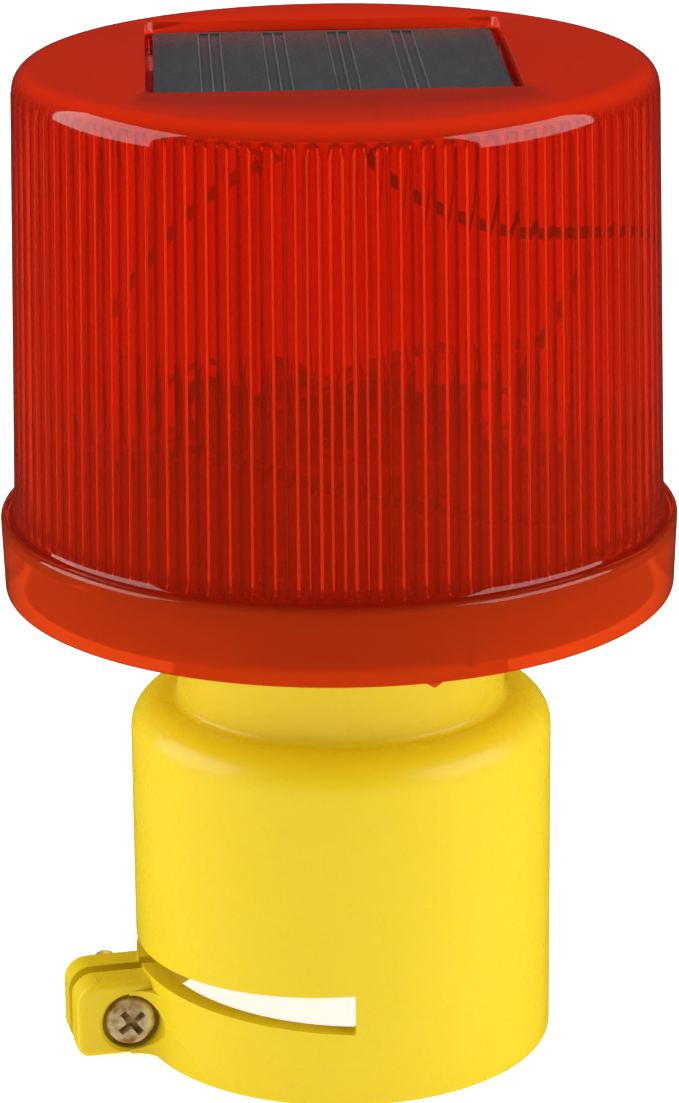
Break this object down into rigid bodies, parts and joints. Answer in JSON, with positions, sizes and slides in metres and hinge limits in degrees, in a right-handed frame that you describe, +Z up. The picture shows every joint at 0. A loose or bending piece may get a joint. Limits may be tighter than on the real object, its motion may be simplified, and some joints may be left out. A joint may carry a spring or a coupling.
{
  "type": "solar barricade warning light",
  "caption": "Solar-powered warning light with a ribbed red drum lens over a yellow collar that slips on a cone or post and is clamped by a bolted split ring.",
  "frame": {"origin": "centre of the clamp bore at its mouth, which is the lowest plane of the light", "axes": "+Z up along the common axis of collar and lens; -X towards the split ring's ears; the clamp bolt's head faces -Y"},
  "size_m": [0.1, 0.1, 0.15],
  "materials": {
    "yellow_plastic": "smooth moulded polypropylene",
    "red_lens": "clear red polycarbonate, ribbed inside",
    "panel_resin": "clear resin over a dark board",
    "solar_cell": "dark silicon under resin",
    "silver_tab": "tinned tab",
    "foam": "closed-cell foam tape",
    "seal_rubber": "soft black rubber",
    "zinc_bolt": "yellow-passivated steel",
    "zinc_screw": "zinc-plated steel",
    "spring_steel": "nickel-plated spring steel",
    "black_plastic": "moulded black plastic",
    "cell_sleeve": "plain plastic sleeve",
    "board_white": "white solder mask over glass fibre",
    "holder_white": "moulded white plastic",
    "led_amber": "clear tinted epoxy",
    "chip_black": "moulded epoxy",
    "ferrite": "ferrite drum",
    "can_blue": "sleeved aluminium can",
    "resistor_tan": "lacquered ceramic",
    "button_rubber": "soft red rubber over the plunger",
    "red_wire": "PVC-insulated lead",
    "black_wire": "PVC-insulated lead"
  },
  "bodies": {
    "base": {"mounting_collar": "yellow_plastic", "base_plate": "yellow_plastic", "plate_screws": "zinc_screw", "board_screws": "zinc_screw", "lens_seal": "seal_rubber", "battery_holder": "holder_white", "battery_cell": "cell_sleeve", "battery_contacts": "spring_steel", "battery_spring": "spring_steel", "circuit_board": "board_white", "led_lamps": "led_amber", "led_legs": "silver_tab", "driver_chip": "chip_black", "inductor": "ferrite", "capacitor": "can_blue", "resistors": "resistor_tan", "switch_body": "black_plastic", "switch_seal": "seal_rubber", "switch_nut": "zinc_screw", "switch_terminals": "silver_tab", "red_panel_lead": "red_wire", "black_panel_lead": "black_wire", "battery_leads": "red_wire", "switch_leads": "black_wire"},
    "lens_body": {"lens": "red_lens", "solar_panel": "panel_resin", "solar_cells": "solar_cell", "cell_tabs": "silver_tab", "panel_pad": "foam"},
    "button": {"switch_button": "button_rubber"},
    "bolt": {"clamp_bolt": "zinc_bolt"},
    "nut": {"clamp_nut": "zinc_bolt"}
  },
  "joints": [
    {"name": "lens_twist", "type": "hinge", "parent": "base", "child": "lens_body", "pos_m": [0, 0, 0.08], "axis": [0, 0, 1], "range_deg": [0, 36]},
    {"name": "button_press", "type": "slide", "parent": "base", "child": "button", "axis": [0, 0, 1], "range_m": [0, 0.0017], "stiffness_N_per_m": 400, "springref_m": -0.001},
    {"name": "clamp_bolt_turn", "type": "hinge", "parent": "base", "child": "bolt", "pos_m": [-0.03332, -0.00769, 0.00595], "axis": [0.225, -0.9744, 0], "range_deg": [0, 720]},
    {"name": "clamp_nut_slide", "type": "slide", "parent": "base", "child": "nut", "axis": [-0.225, 0.9744, 0], "range_m": [0, 0.0014]}
  ],
  "couplings": [
    {"joint": "clamp_bolt_turn", "follows": "clamp_nut_slide", "rad_per_m": 8976}
  ]
}
